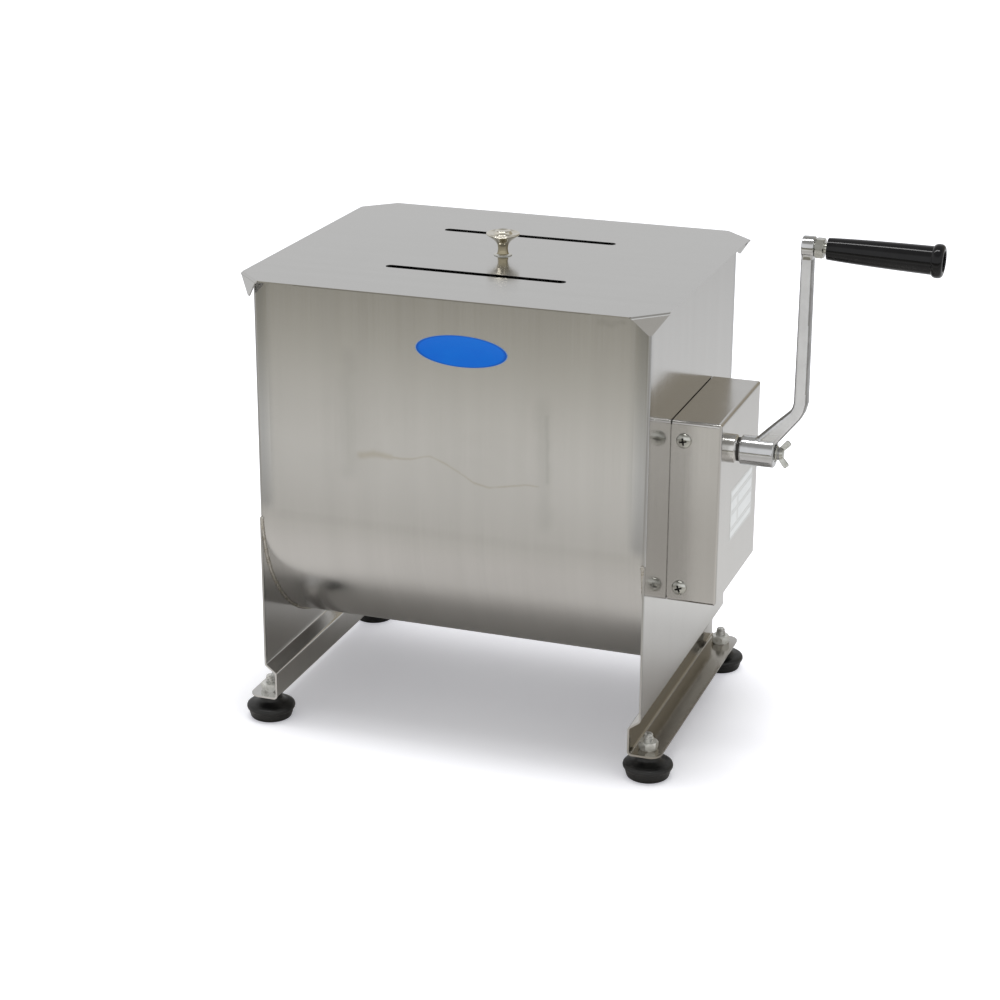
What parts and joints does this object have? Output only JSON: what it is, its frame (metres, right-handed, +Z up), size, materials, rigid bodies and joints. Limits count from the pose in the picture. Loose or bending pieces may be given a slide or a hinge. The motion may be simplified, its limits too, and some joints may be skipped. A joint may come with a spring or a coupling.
{
  "type": "manual meat mixer",
  "caption": "Hand-cranked meat mixer: round-bottomed steel tank on bent sheet legs, loose lid with knob, gear cover, geared crank with grip, and a paddle shaft.",
  "frame": {"origin": "on the floor, under the middle of the whole machine's box with the crank pointing up", "axes": "+X along the shafts towards the crank grip, +Y to the back wall, +Z up"},
  "size_m": [0.5384, 0.2882, 0.4278],
  "materials": {
    "tank_steel": "brushed sheet",
    "zinc_plate": "bright zinc",
    "turned_steel": "turned",
    "crank_chrome": "polished",
    "gear_steel": "oiled",
    "bush_bronze": "turned",
    "seal_rubber": "matt",
    "foot_rubber": "matt",
    "paddle_steel": "brushed",
    "grip_black": "gloss",
    "knob_nickel": "polished nickel"
  },
  "bodies": {
    "frame": {"trough": "tank_steel", "left_side_plate": "tank_steel", "right_side_plate": "tank_steel", "gear_cover": "tank_steel", "cover_bracket_front": "tank_steel", "cover_bracket_rear": "tank_steel", "bracket_nuts": "zinc_plate", "cover_screws": "zinc_plate", "crank_bush": "turned_steel", "inner_bush": "bush_bronze", "drive_bush": "bush_bronze", "shaft_seal": "seal_rubber", "left_bush": "turned_steel", "pivot_bolt": "zinc_plate", "foot_studs": "zinc_plate", "foot_nuts": "zinc_plate", "foot_front_left": "foot_rubber", "foot_front_right": "foot_rubber", "foot_rear_left": "foot_rubber", "foot_rear_right": "foot_rubber"},
    "paddles": {"drive_shaft": "turned_steel", "drive_gear": "gear_steel", "drive_key": "zinc_plate", "gear_circlip": "zinc_plate", "paddle_shaft": "paddle_steel", "paddle_1": "paddle_steel", "paddle_2": "paddle_steel", "paddle_3": "paddle_steel", "paddle_4": "paddle_steel"},
    "crank": {"crank_shaft": "turned_steel", "pinion_gear": "gear_steel", "pinion_key": "zinc_plate", "pinion_circlip": "zinc_plate", "crank_washer": "zinc_plate", "crank_arm": "crank_chrome", "wing_screw": "zinc_plate", "grip_spindle": "zinc_plate", "grip_nut": "zinc_plate"},
    "grip": {"hand_grip": "grip_black"},
    "lid": {"lid": "tank_steel", "lid_knob": "knob_nickel", "knob_screw": "zinc_plate", "knob_washer": "zinc_plate"}
  },
  "joints": [
    {"name": "paddle_spin", "type": "hinge", "parent": "frame", "child": "paddles", "pos_m": [-0.08669, 0, 0.1905], "axis": [1, 0, 0], "continuous": true},
    {"name": "crank_spin", "type": "hinge", "parent": "frame", "child": "crank", "pos_m": [-0.08669, -0.039, 0.25339], "axis": [1, 0, 0], "continuous": true},
    {"name": "grip_spin", "type": "hinge", "parent": "crank", "child": "grip", "pos_m": [0.16836, -0.039, 0.41759], "axis": [0.9997, 0, -0.0262], "continuous": true},
    {"name": "lid_lift", "type": "slide", "parent": "frame", "child": "lid", "axis": [0, 0, 1], "range_m": [0, 0.12]}
  ],
  "couplings": [
    {"joint": "crank_spin", "follows": "paddle_spin", "ratio": -3.1111}
  ]
}
